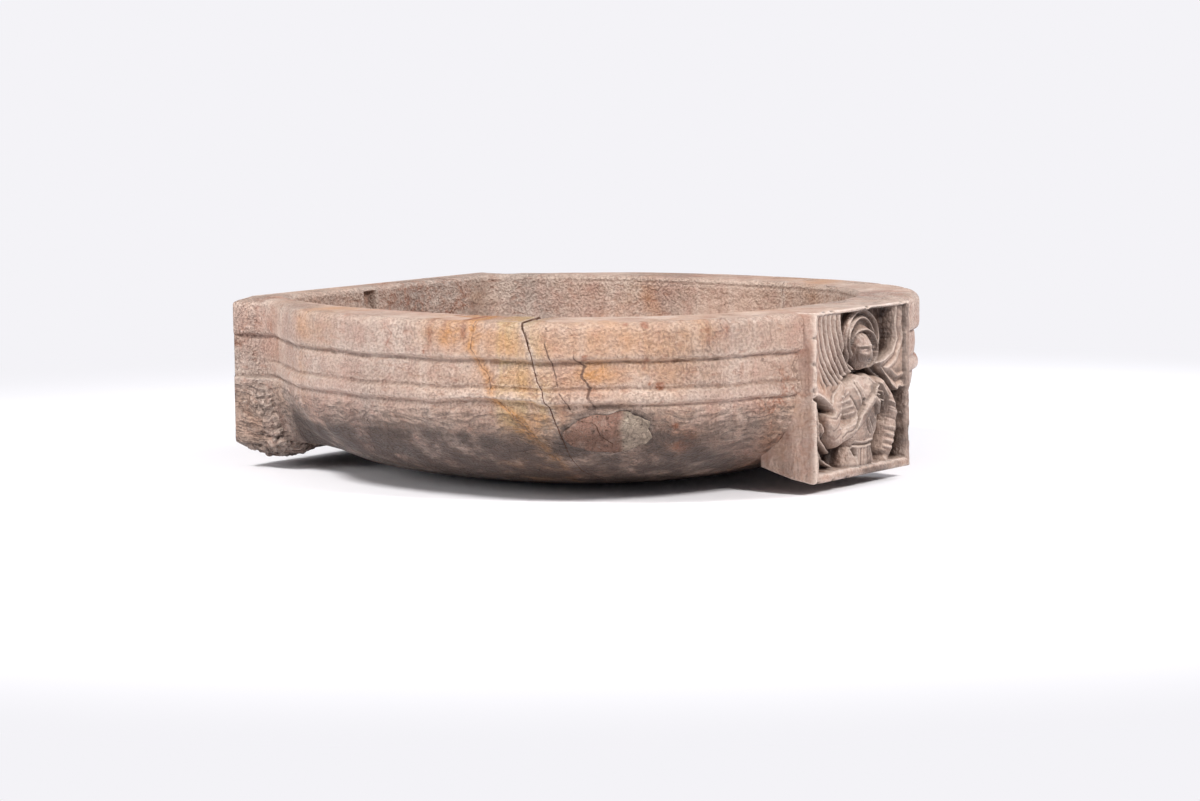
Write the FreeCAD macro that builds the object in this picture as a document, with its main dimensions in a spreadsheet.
import FreeCAD, Part
import Sketcher
import math
import os

# A marble wall basin: a D-shaped bowl with a moulded band below its rim, a flat back wall with two side ears,
# and a block at the front that carries a half figure between drawn curtains. The stone was broken across the
# bowl and put together again with mortar and leaded iron dowels.
# Frame: X along the wall, the front faces -Y, Z is up and the foot of the bowl rests on Z = 0.

doc = FreeCAD.newDocument("marble_basin")
sheet = doc.addObject("Spreadsheet::Sheet", "Sizes")

SIZES = {
    # bowl in plan: a superellipse about the bowl's middle, which would run past the flat back by an overreach
    "bowl_half_width": 345.0,
    "bowl_front_reach": 348.0,
    "middle_to_back": 330.0,
    "bowl_back_overreach": 28.0,
    "plan_power": 2.3,
    "far_plan_power": 2.65,
    # levels of the outside, from the rim down
    "basin_height": 195.0,
    "fascia_height": 41.0,
    "band_height": 30.0,
    "roll_height": 17.5,
    "band_inset": 5.5,
    "roll_inset": 2.5,
    "belly_inset": 8.0,
    "roll_rounding": 6.0,
    "rim_rounding": 10.0,
    "foot_radius": 105.0,
    "belly_power": 2.25,
    # hollow
    "side_rim_width": 77.0,
    "front_rim_width": 62.0,
    "hollow_back_overreach": 48.0,
    "hollow_depth": 128.0,
    "hollow_floor_radius": 120.0,
    "hollow_power": 2.6,
    "inner_rounding": 8.0,
    # back wall, ears and their broken undersides
    "back_wall": 30.0,
    "ear_wall": 24.0,
    "near_ear_reach": 241.0,
    "far_ear_reach": 240.0,
    "wall_clear": 14.0,
    "near_stump_width": 95.0,
    "far_stump_width": 82.0,
    "stump_depth": 46.0,
    "stump_foot": 9.0,
    # channel cut in the inner face of the back wall
    "channel_width": 21.0,
    "channel_depth": 12.0,
    "channel_shift": -35.0,
    "channel_below_rim": 7.0,
    "channel_height": 80.0,
    # outlet through the floor
    "outlet_radius": 14.0,
    "sleeve_wall": 4.0,
    "flange_width": 9.0,
    "flange_thickness": 3.0,
    # front block and its relief
    "block_width": 188.0,
    "block_shift": 18.0,
    "block_proud": 10.0,
    "block_clear": 12.0,
    "side_border": 8.0,
    "top_border": 6.0,
    "foot_border": 10.0,
    "niche_depth": 26.0,
    "figure_proud": 4.0,
    "curtain_sink": 3.0,
    "halo_radius": 34.0,
    "halo_sink": 6.0,
    "veil_half_width": 22.0,
    "veil_half_height": 27.0,
    "veil_half_depth": 15.0,
    "arm_radius": 12.0,
    "hand_radius": 9.0,
    # break, dowels and patch
    "break_gap": 2.0,
    "break_lean": 0.35,
    "dowel_radius": 6.0,
    "dowel_length": 90.0,
    "lead_wall": 2.5,
    "dowel_level": 130.0,
    "near_dowel_turn": 211.0,
    "far_dowel_turn": 344.0,
    "patch_turn": 220.0,
    "patch_level": 74.0,
    "patch_half_length": 42.0,
    "patch_half_height": 28.0,
    "patch_half_depth": 20.0,
    "patch_hole_radius": 3.0,
    "patch_hole_depth": 12.0,
}

for row, (alias, value) in enumerate(SIZES.items(), start=1):
    sheet.set("A%d" % row, alias)
    sheet.set("B%d" % row, repr(value))
    sheet.setAlias("B%d" % row, alias)
doc.recompute()


def size(alias):
    """A driving dimension, read from the sheet."""
    return float(sheet.get(alias))


def vec(x, y, z):
    return FreeCAD.Vector(x, y, z)


# Places that follow from the driving dimensions
half_width = size("bowl_half_width")
front_reach = size("bowl_front_reach")
back_reach = size("middle_to_back") + size("bowl_back_overreach")
height = size("basin_height")
overall_depth = size("middle_to_back") + front_reach + size("block_proud") + size("figure_proud")
back_y = overall_depth / 2
middle_y = back_y - size("middle_to_back")
block_y = middle_y - front_reach - size("block_proud")
figure_y = block_y - size("figure_proud")
niche_y = block_y + size("niche_depth")
fascia_z = height - size("fascia_height")
band_z = fascia_z - size("band_height")
roll_z = band_z - size("roll_height")
floor_z = height - size("hollow_depth")
wall_y = back_y - size("back_wall")
ear_y = back_y - size("ear_wall")
overrun = size("back_wall")


def feature(label, shape):
    """A document object that holds a shape worked out here."""
    made = doc.addObject("Part::Feature", label)
    made.Label = label
    made.Shape = shape
    return made


def join(kind, label, base, tool):
    """A cut or a common of two objects of the document."""
    made = doc.addObject(kind, label)
    made.Label = label
    made.Base = base
    made.Tool = tool
    return made


def oval_point(turn, half_x, front, back):
    """The point of the curve |x / half_x| ^ power + |y / reach| ^ power = 1 that lies at an angle from +X.
    The far front quarter is fuller than the rest."""
    along, across = math.cos(turn), math.sin(turn)
    power = size("far_plan_power") if across < 0 < along else size("plan_power")
    reach = back if across > 0 else front
    radius = (abs(along / half_x) ** power + abs(across / reach) ** power) ** (-1 / power)
    return radius * along, middle_y + radius * across


def oval(half_x, front, back, z, steps=28):
    """Closed plan curve through points of the superellipse, with its seam at the back."""
    points = []
    for step in range(steps):
        x, y = oval_point(math.pi / 2 + 2 * math.pi * step / steps, half_x, front, back)
        points.append(vec(x, y, z))
    curve = Part.BSplineCurve()
    curve.interpolate(Points=points, PeriodicFlag=True)
    return Part.Wire([curve.toShape()])


def oval_prism(inset, low, high):
    """Upright prism of the bowl's plan, drawn in by an inset."""
    outline = oval(half_width - inset, front_reach - inset, back_reach - inset, low)
    return Part.Face(outline).extrude(vec(0, 0, high - low))


def block(x_low, x_high, y_low, y_high, z_low, z_high):
    return Part.makeBox(x_high - x_low, y_high - y_low, z_high - z_low, vec(x_low, y_low, z_low))


def level_edges(shape, z):
    """Edges that lie at one level."""
    near = overrun / 1000
    return [edge for edge in shape.Edges if all(abs(v.Point.z - z) < near for v in edge.Vertexes)]


RISE_SHARES = (0.0, 0.05, 0.14, 0.28, 0.46, 0.68, 1.0)


def bowl_form(half_x, front, back, foot, power, low, high):
    """Loft of plan curves that widen from a flat foot to an upright wall along a quarter superellipse."""
    wires = []
    for rise in RISE_SHARES:
        widening = (1 - (1 - rise) ** power) ** (1 / power)
        x, y_front, y_back = [foot + (full - foot) * widening for full in (half_x, front, back)]
        wires.append(oval(x, y_front, y_back, low + (high - low) * rise))
    return Part.makeLoft(wires, True, False)


# Outside of the bowl: belly, roll, recessed band and fascia
belly_half = half_width - size("belly_inset")
belly_front = front_reach - size("belly_inset")
belly_back = back_reach - size("belly_inset")
belly = bowl_form(belly_half, belly_front, belly_back, size("foot_radius"), size("belly_power"), 0, roll_z)
roll = oval_prism(size("roll_inset"), roll_z, band_z)
roll = roll.makeFillet(size("roll_rounding"), level_edges(roll, roll_z) + level_edges(roll, band_z))
band = oval_prism(size("band_inset"), band_z, fascia_z)
fascia = oval_prism(0, fascia_z, height)
fascia = fascia.makeFillet(size("rim_rounding"), level_edges(fascia, height))
under = block(-2 * half_width, 2 * half_width, -2 * half_width, 2 * half_width, -height, 0)
behind = block(-2 * half_width, 2 * half_width, back_y, 2 * half_width + back_y, -height, 2 * height)


def ear_slab(inset, low, high, rounding):
    """The wall plate between the two ear ends at one level of the mouldings."""
    near_end = inset - size("near_ear_reach")
    far_end = size("far_ear_reach") - inset
    slab = block(near_end, far_end, ear_y + inset, back_y, low, high)
    if rounding:
        rim = [edge for edge in level_edges(slab, high) if min(v.Point.y for v in edge.Vertexes) < back_y]
        slab = slab.makeFillet(rounding, rim)
    return slab


def stump(side, reach, width):
    """Broken mass under an ear: a tapered lump that leans against the belly."""
    depth = size("stump_depth")
    foot = size("stump_foot")
    outer, inner = side * reach, side * (reach - width)
    middle = (outer + inner) / 2
    top = [vec(outer, back_y, roll_z), vec(outer, ear_y, roll_z), vec(middle, ear_y, roll_z),
           vec(inner, ear_y, roll_z), vec(inner, back_y, roll_z)]
    waist_z = (roll_z + foot) / 2
    front = back_y - depth
    waist = [vec(outer, back_y, waist_z), vec(outer, front + depth / 4, waist_z), vec(middle, front, waist_z),
             vec(inner, front + depth / 3, waist_z), vec(inner, back_y, waist_z)]
    low = [vec(outer - side * width / 5, back_y, foot),
           vec(outer - side * width / 5, front + depth / 3, foot),
           vec(middle, front + depth / 8, foot), vec(inner + side * width / 6, front + depth / 2, foot),
           vec(inner + side * width / 6, back_y, foot)]
    wires = [Part.makePolygon(points + points[:1]) for points in (low, waist, top)]
    return Part.makeLoft(wires, True, True)


near_stump = stump(-1, size("near_ear_reach"), size("near_stump_width"))
far_stump = stump(1, size("far_ear_reach"), size("far_stump_width"))
lower_plate = block(-size("near_ear_reach"), size("far_ear_reach"), ear_y, back_y, size("wall_clear"), roll_z)

# Front block: a side profile with its rough underside, carried across the block's width
block_low = size("block_clear")
block_left = size("block_shift") - size("block_width") / 2
block_right = size("block_shift") + size("block_width") / 2
side_top = block_y + size("front_rim_width")
KEEL_SHARES = ((0.38, 0.0), (0.62, 0.06), (0.95, 0.16), (1.35, 0.3))
rim_width = size("front_rim_width")
keel = [vec(block_left, block_y + a * rim_width, block_low + b * roll_z) for a, b in KEEL_SHARES]
profile = [vec(block_left, block_y, height), vec(block_left, block_y, block_low)] + keel
profile.append(vec(block_left, side_top, height))
front_block = Part.Face(Part.makePolygon(profile + profile[:1])).extrude(vec(size("block_width"), 0, 0))

solids = [ear_slab(0, fascia_z, height, size("rim_rounding")),
          ear_slab(size("band_inset"), roll_z, fascia_z, 0),
          lower_plate, near_stump, far_stump, roll, band, fascia]
outside = belly.fuse(solids).cut(behind).cut(under).fuse(front_block)

# Hollow: the same kind of form turned inwards, flared at the rim and cut off flat by the back wall
hollow_half = half_width - size("side_rim_width")
hollow_front = front_reach - size("front_rim_width")
hollow_back = size("middle_to_back") + size("hollow_back_overreach")
hollow = bowl_form(hollow_half, hollow_front, hollow_back, size("hollow_floor_radius"), size("hollow_power"),
                   floor_z, height)
flare = []
rounding = size("inner_rounding")
for quarter_share in (0.0, 0.5, 1.0):
    turn = math.pi / 2 * quarter_share
    out = rounding * (1 - math.cos(turn))
    rise = rounding * math.sin(turn)
    flare.append(oval(hollow_half + out, hollow_front + out, hollow_back + out, height - rounding + rise))
flare = Part.makeLoft(flare, True, True)
wall_space = block(-2 * half_width, 2 * half_width, wall_y, 2 * half_width, -height, 2 * height)
channel_x = size("channel_shift")
channel_top = height - size("channel_below_rim")
channel_foot = channel_top - size("channel_height")
channel = block(channel_x - size("channel_width") / 2, channel_x + size("channel_width") / 2,
                wall_y - overrun, wall_y + size("channel_depth"), channel_foot, channel_top)
hollow = hollow.cut(wall_space)
flare = flare.cut(wall_space)
stone = outside.cut(hollow).cut(flare).cut(channel)


def on_block(along_share, up_share):
    """A place on the front block: along its half width from its middle, and up from its foot to the rim."""
    x = size("block_shift") + along_share * size("block_width") / 2
    return x, block_low + up_share * (height - block_low)


def egg(centre, half_x, half_y, half_z, turn=0):
    """A sphere of radius 1 stretched to three half sizes, turned about Z and moved to its centre."""
    stretch = FreeCAD.Matrix()
    stretch.scale(vec(half_x, half_y, half_z))
    shape = Part.makeSphere(1).transformGeometry(stretch)
    shape.Placement = FreeCAD.Placement(centre, FreeCAD.Rotation(vec(0, 0, 1), turn))
    return shape


def limb(start, end, radius):
    """A rod between two places with a ball at each end."""
    run = end - start
    rod = Part.makeCylinder(radius, run.Length, start, run)
    return rod.fuse([Part.makeSphere(radius, start), Part.makeSphere(radius, end)])


# Niche of the front block
niche = block(block_left + size("side_border"), block_right - size("side_border"), block_y - overrun, niche_y,
              block_low + size("foot_border"), height - size("top_border"))
stone = stone.cut(niche)

# Half figure in the niche: halo, veiled head, robed body and two arms, placed by shares of the block
FIGURE_SHARES = {
    "halo": (0.07, 0.79),
    "head": (0.09, 0.755),
    "neck": (0.08, 0.6),
    "near_shoulder": (-0.24, 0.47),
    "near_elbow": (-0.56, 0.25),
    "near_hand": (0.19, 0.49),
    "far_shoulder": (0.46, 0.46),
    "far_elbow": (0.64, 0.26),
    "far_hand": (0.54, 0.07),
}
halo_x, halo_z = on_block(*FIGURE_SHARES["halo"])
halo_front = block_y + size("halo_sink")
halo_seat = vec(halo_x, halo_front, halo_z)
halo = Part.makeCylinder(size("halo_radius"), niche_y - halo_front, halo_seat, vec(0, 1, 0))
head_x, head_z = on_block(*FIGURE_SHARES["head"])
head = egg(vec(head_x, figure_y + size("veil_half_depth"), head_z), size("veil_half_width"),
           size("veil_half_depth"), size("veil_half_height"))
neck_x, neck_z = on_block(*FIGURE_SHARES["neck"])
neck_radius = size("veil_half_width") / 2
neck = Part.makeCylinder(neck_radius, size("veil_half_height"), vec(neck_x, niche_y - neck_radius, neck_z))

# Each level of the body: middle and half width as shares of the block's half width, height share, depth share
BODY_SHARES = ((0.14, 0.44, 0.0, 0.96), (0.12, 0.36, 0.18, 0.88), (0.1, 0.44, 0.45, 0.94),
               (0.09, 0.36, 0.56, 0.8), (0.08, 0.16, 0.63, 0.45))
sections = []
for middle_share, half_share, up_share, depth_share in BODY_SHARES:
    x, z = on_block(middle_share, up_share)
    across = half_share * size("block_width") / 2
    forward = depth_share * (niche_y - figure_y)
    ring = Part.Ellipse(vec(x, niche_y, z), max(across, forward), min(across, forward))
    sections.append(Part.Wire([ring.toShape()]))
body = Part.makeLoft(sections, True, False)
body = body.common(block(block_left, block_right, figure_y - overrun, niche_y, -height, height))


def figure_place(name, radius):
    """Where a limb of the figure bends or ends, with its front level with the block's face."""
    x, z = on_block(*FIGURE_SHARES[name])
    return vec(x, block_y + radius, z)


arm = size("arm_radius")
hand = size("hand_radius")
arms = []
for side in ("near", "far"):
    elbow = figure_place(side + "_elbow", arm)
    arms.append(limb(figure_place(side + "_shoulder", arm), elbow, arm))
    arms.append(limb(elbow, figure_place(side + "_hand", hand), hand))

# Curtains drawn to both sides, each a flat outline as shares of the block, with its folds left to the finish
NEAR_CURTAIN_SHARES = ((-0.95, 0.98), (-0.36, 0.98), (-0.15, 0.65), (-0.28, 0.58), (-0.6, 0.42), (-0.95, 0.5))
FAR_CURTAIN_SHARES = ((0.95, 0.98), (0.68, 0.98), (0.66, 0.78), (0.3, 0.64), (0.45, 0.57), (0.72, 0.46),
                      (0.95, 0.5))
curtain_y = block_y + size("curtain_sink")
curtains = []
for outline_shares in (NEAR_CURTAIN_SHARES, FAR_CURTAIN_SHARES):
    corners = []
    for along_share, up_share in outline_shares:
        x, z = on_block(along_share, up_share)
        corners.append(vec(x, curtain_y, z))
    face = Part.Face(Part.makePolygon(corners + corners[:1]))
    curtains.append(face.extrude(vec(0, niche_y - curtain_y, 0)))

stone = stone.fuse(curtains + [halo, body, neck, head] + arms).cut(under)
uncut_stone = feature("uncut_stone", stone)

# The break across the bowl: places as shares of the half width and of the front reach, from the bowl's middle
BREAK_SHARES = ((-1.3, -0.58), (-0.93, -0.442), (-0.7, -0.352), (-0.35, -0.31), (0.0, -0.345), (0.35, -0.285),
                (0.75, -0.245), (1.3, -0.27))


def break_place(along_share, front_share, z, shift):
    """A place of the break: it leans forward towards the foot on the near side and is upright on the far."""
    lean_share = (1 - along_share) / 2
    lean = size("break_lean") * lean_share * (height - z)
    return vec(along_share * half_width, middle_y + front_share * front_reach - lean + shift, z)


def front_region(shift):
    """Everything in front of the break, moved along Y by a shift."""
    wires = []
    for z in (-overrun, height + overrun):
        line = [break_place(along, forward, z, shift) for along, forward in BREAK_SHARES]
        curve = Part.BSplineCurve()
        curve.interpolate(Points=line)
        first, last = line[0], line[-1]
        corners = [last, vec(last.x, -2 * front_reach, z), vec(first.x, -2 * front_reach, z), first]
        sides = [Part.makeLine(corners[at], corners[at + 1]) for at in range(3)]
        wires.append(Part.Wire([curve.toShape()] + sides))
    return Part.makeLoft(wires, True, True)


half_gap = size("break_gap") / 2
region_front = feature("region_front_of_break", front_region(-half_gap))
region_with_break = feature("region_with_break", front_region(half_gap))


# Dowels across the break, each in a drilled hole that is filled with lead
def wall_middle(turn):
    """Middle of the bowl's wall at an angle about the bowl's middle."""
    outer = oval_point(turn, half_width, front_reach, back_reach)
    inner = oval_point(turn, hollow_half, hollow_front, hollow_back)
    return vec((outer[0] + inner[0]) / 2, (outer[1] + inner[1]) / 2, size("dowel_level"))


dowel_lines = {}
for name in ("near_dowel", "far_dowel"):
    turn = math.radians(size(name + "_turn"))
    step = math.pi / 180
    dowel_lines[name] = (wall_middle(turn), wall_middle(turn + step) - wall_middle(turn - step))
floor_middle = break_place(0.0, BREAK_SHARES[4][1], floor_z / 2, 0)
dowel_lines["floor_dowel"] = (floor_middle, vec(0, 1, 0))

bores = []
dowels = []
for name, (middle, direction) in dowel_lines.items():
    direction.normalize()
    start = middle - direction * (size("dowel_length") / 2)
    seat = FreeCAD.Placement(start, FreeCAD.Rotation(vec(0, 0, 1), direction))
    dowel = doc.addObject("Part::Cylinder", name)
    core = doc.addObject("Part::Cylinder", name + "_core")
    filled = doc.addObject("Part::Cylinder", name + "_hole")
    for rod, radius in ((dowel, "dowel_radius"), (core, "dowel_radius"),
                        (filled, "dowel_radius + Sizes.lead_wall")):
        rod.Label = rod.Name
        rod.setExpression("Radius", "Sizes." + radius)
        rod.setExpression("Height", "Sizes.dowel_length")
        rod.Placement = seat
    dowels.append(dowel)
    dowels.append(join("Part::Cut", name + "_lead", filled, core))
    bores.append(filled)

# Outlet sleeve: a lead tube with a flange, turned from one profile
sleeve = doc.addObject("PartDesign::Body", "outlet_sleeve")
sleeve.Label = "outlet_sleeve"
upright = [plane for plane in sleeve.Origin.OriginFeatures if plane.Role == "XZ_Plane"][0]
profile_sketch = sleeve.newObject("Sketcher::SketchObject", "sleeve_profile")
profile_sketch.AttachmentSupport = [(upright, "")]
profile_sketch.MapMode = "FlatFace"
tube_inner = "Sizes.outlet_radius"
tube_outer = "Sizes.outlet_radius + Sizes.sleeve_wall"
flange_outer = tube_outer + " + Sizes.flange_width"
floor_level = "Sizes.basin_height - Sizes.hollow_depth"
flange_foot = floor_level + " - Sizes.flange_thickness"
corner_rules = [(tube_inner, None), (tube_outer, None), (tube_outer, flange_foot),
                (flange_outer, flange_foot), (flange_outer, floor_level), (tube_inner, floor_level)]
tube_radius = size("outlet_radius") + size("sleeve_wall")
flange_radius = tube_radius + size("flange_width")
flange_z = floor_z - size("flange_thickness")
bore_radius = size("outlet_radius")
outline = [vec(bore_radius, 0, 0), vec(tube_radius, 0, 0), vec(tube_radius, flange_z, 0),
           vec(flange_radius, flange_z, 0), vec(flange_radius, floor_z, 0), vec(bore_radius, floor_z, 0)]
for at, corner in enumerate(outline):
    profile_sketch.addGeometry(Part.LineSegment(corner, outline[(at + 1) % len(outline)]))
for at, (across_rule, up_rule) in enumerate(corner_rules):
    before = (at - 1) % len(outline)
    profile_sketch.addConstraint(Sketcher.Constraint("Coincident", before, 2, at, 1))
    name = "across_%d" % at
    profile_sketch.addConstraint(Sketcher.Constraint("DistanceX", -1, 1, at, 1, outline[at].x))
    profile_sketch.renameConstraint(profile_sketch.ConstraintCount - 1, name)
    profile_sketch.setExpression("Constraints." + name, across_rule)
    if up_rule is None:
        profile_sketch.addConstraint(Sketcher.Constraint("PointOnObject", at, 1, -1))
        continue
    name = "up_%d" % at
    profile_sketch.addConstraint(Sketcher.Constraint("DistanceY", -1, 1, at, 1, outline[at].y))
    profile_sketch.renameConstraint(profile_sketch.ConstraintCount - 1, name)
    profile_sketch.setExpression("Constraints." + name, up_rule)
turned = sleeve.newObject("PartDesign::Revolution", "sleeve_turned")
turned.Profile = profile_sketch
turned.ReferenceAxis = (profile_sketch, ["V_Axis"])
turned.Angle = 360
sleeve.Placement = FreeCAD.Placement(vec(0, middle_y, 0), FreeCAD.Rotation())
tube_hole = doc.addObject("Part::Cylinder", "outlet_hole")
tube_hole.setExpression("Radius", tube_outer)
tube_hole.setExpression("Height", floor_level)
tube_hole.Placement = sleeve.Placement
flange_seat = doc.addObject("Part::Cylinder", "outlet_flange_seat")
flange_seat.setExpression("Radius", flange_outer)
flange_seat.setExpression("Height", "Sizes.flange_thickness + Sizes.hollow_depth")
flange_seat.Placement = FreeCAD.Placement(vec(0, middle_y, flange_z), FreeCAD.Rotation())

# Mortar patch at the foot of the break, let into the belly of the front stone
patch_turn = math.radians(size("patch_turn"))
patch_rise = size("patch_level") / roll_z
patch_widening = (1 - (1 - patch_rise) ** size("belly_power")) ** (1 / size("belly_power"))
patch_sizes = [size("foot_radius") + (full - size("foot_radius")) * patch_widening
               for full in (belly_half, belly_front, belly_back)]
patch_x, patch_y = oval_point(patch_turn, *patch_sizes)
patch_middle = vec(patch_x, patch_y, size("patch_level"))
plug = egg(patch_middle, size("patch_half_depth"), size("patch_half_length"), size("patch_half_height"),
           size("patch_turn"))
patch_form = feature("patch_form", plug)
outward = vec(math.cos(patch_turn), math.sin(patch_turn), 0)
hole_start = patch_middle + outward * size("patch_half_depth")
hole_length = size("patch_hole_depth") + size("patch_half_depth")
bored = Part.makeCylinder(size("patch_hole_radius"), hole_length, hole_start, -outward)
patch_hole = feature("patch_hole", bored)

# The pieces, cut from the whole stone
drilled_holes = doc.addObject("Part::MultiFuse", "drilled_holes")
drilled_holes.Shapes = bores + [tube_hole, flange_seat]
drilled_stone = join("Part::Cut", "drilled_stone", uncut_stone, drilled_holes)
front_blank = join("Part::Common", "front_blank", drilled_stone, region_front)
front_stone = join("Part::Cut", "front_stone", front_blank, patch_form)
patch_blank = join("Part::Common", "patch_blank", front_blank, patch_form)
mortar_patch = join("Part::Cut", "mortar_patch", patch_blank, patch_hole)
back_stone = join("Part::Cut", "back_stone", drilled_stone, region_with_break)
break_blank = join("Part::Common", "break_blank", drilled_stone, region_with_break)
break_mortar = join("Part::Cut", "break_mortar", break_blank, region_front)
doc.recompute()

faulty = [item.Name for item in doc.Objects if "Invalid" in item.State or "Error" in item.State]
if faulty:
    raise RuntimeError("these objects did not recompute: " + ", ".join(faulty))

os.makedirs("parts", exist_ok=True)
for piece in [back_stone, front_stone, break_mortar, mortar_patch, sleeve] + dowels:
    shape = piece.Shape
    if shape.isNull() or not shape.isValid() or not shape.Solids:
        raise RuntimeError("this piece has no valid solid: " + piece.Label)
    shape.exportStep("parts/" + piece.Label + ".step")
    print(piece.Label, len(shape.Solids), "solid", round(shape.Volume), "mm3")
